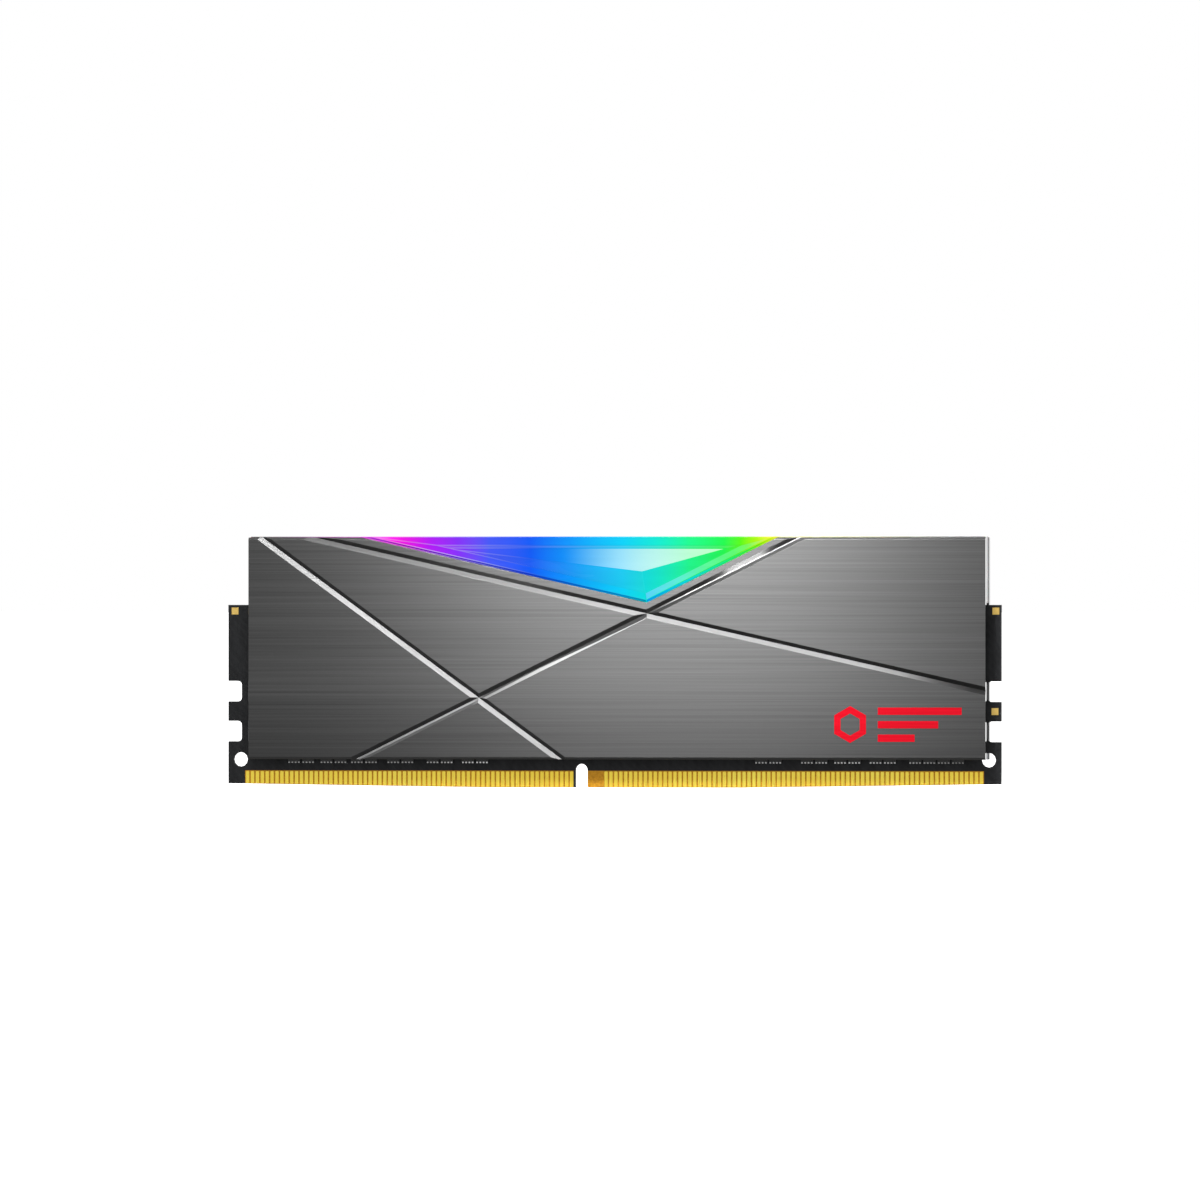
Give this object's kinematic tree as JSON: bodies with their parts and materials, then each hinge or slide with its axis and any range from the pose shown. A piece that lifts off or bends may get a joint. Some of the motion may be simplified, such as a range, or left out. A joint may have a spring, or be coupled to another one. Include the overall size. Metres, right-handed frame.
{
  "type": "ram module",
  "caption": "Memory module: black circuit board with gold edge contacts between two grooved metal heat spreader plates, with a light guide shining through a triangular window in each.",
  "frame": {"origin": "middle of the connector edge at its lowest point, halfway through the board's thickness", "axes": "+X along the module towards the end nearest the short side of the key, +Y from the front plate to the back plate, +Z from the connector edge up to the light guide"},
  "size_m": [0.1334, 0.008, 0.043],
  "materials": {
    "board": "matte black solder mask over glass-fibre laminate",
    "gold": "polished gold plating",
    "plate": "gunmetal anodised, brushed along the module, with bright cut groove facets",
    "light_guide": "milky translucent, lit in a rainbow from end to end of the window",
    "thermal_pad": "soft matte light grey",
    "chip": "fine matte moulding compound",
    "resistor": "dark glaze with tinned ends",
    "led": "white reflector body with a clear face"
  },
  "bodies": {
    "root": {"circuit_board": "board", "front_contacts_left": "gold", "front_contacts_right": "gold", "back_contacts_left": "gold", "back_contacts_right": "gold", "corner_pad_left": "gold", "corner_pad_right": "gold", "tab_pad_right": "gold", "front_plate": "plate", "back_plate": "plate", "light_guide": "light_guide", "front_thermal_pad": "thermal_pad", "back_thermal_pad": "thermal_pad", "dram_chip_1": "chip", "dram_chip_2": "chip", "dram_chip_3": "chip", "dram_chip_4": "chip", "dram_chip_5": "chip", "dram_chip_6": "chip", "dram_chip_7": "chip", "dram_chip_8": "chip", "spd_memory_chip": "chip", "light_controller": "chip", "resistor_array_1": "resistor", "resistor_array_2": "resistor", "resistor_array_3": "resistor", "resistor_array_4": "resistor", "resistor_array_5": "resistor", "resistor_array_6": "resistor", "resistor_array_7": "resistor", "resistor_array_8": "resistor", "resistor_array_9": "resistor", "resistor_array_10": "resistor", "resistor_array_11": "resistor", "resistor_array_12": "resistor", "resistor_array_13": "resistor", "resistor_array_14": "resistor", "resistor_array_15": "resistor", "resistor_array_16": "resistor", "resistor_array_17": "resistor", "resistor_array_18": "resistor", "resistor_array_19": "resistor", "resistor_array_20": "resistor", "resistor_array_21": "resistor", "resistor_array_22": "resistor", "resistor_array_23": "resistor", "resistor_array_24": "resistor", "front_led_1": "led", "back_led_1": "led", "front_led_2": "led", "back_led_2": "led", "front_led_3": "led", "back_led_3": "led", "front_led_4": "led", "back_led_4": "led", "front_led_5": "led", "back_led_5": "led"}
  },
  "joints": []
}
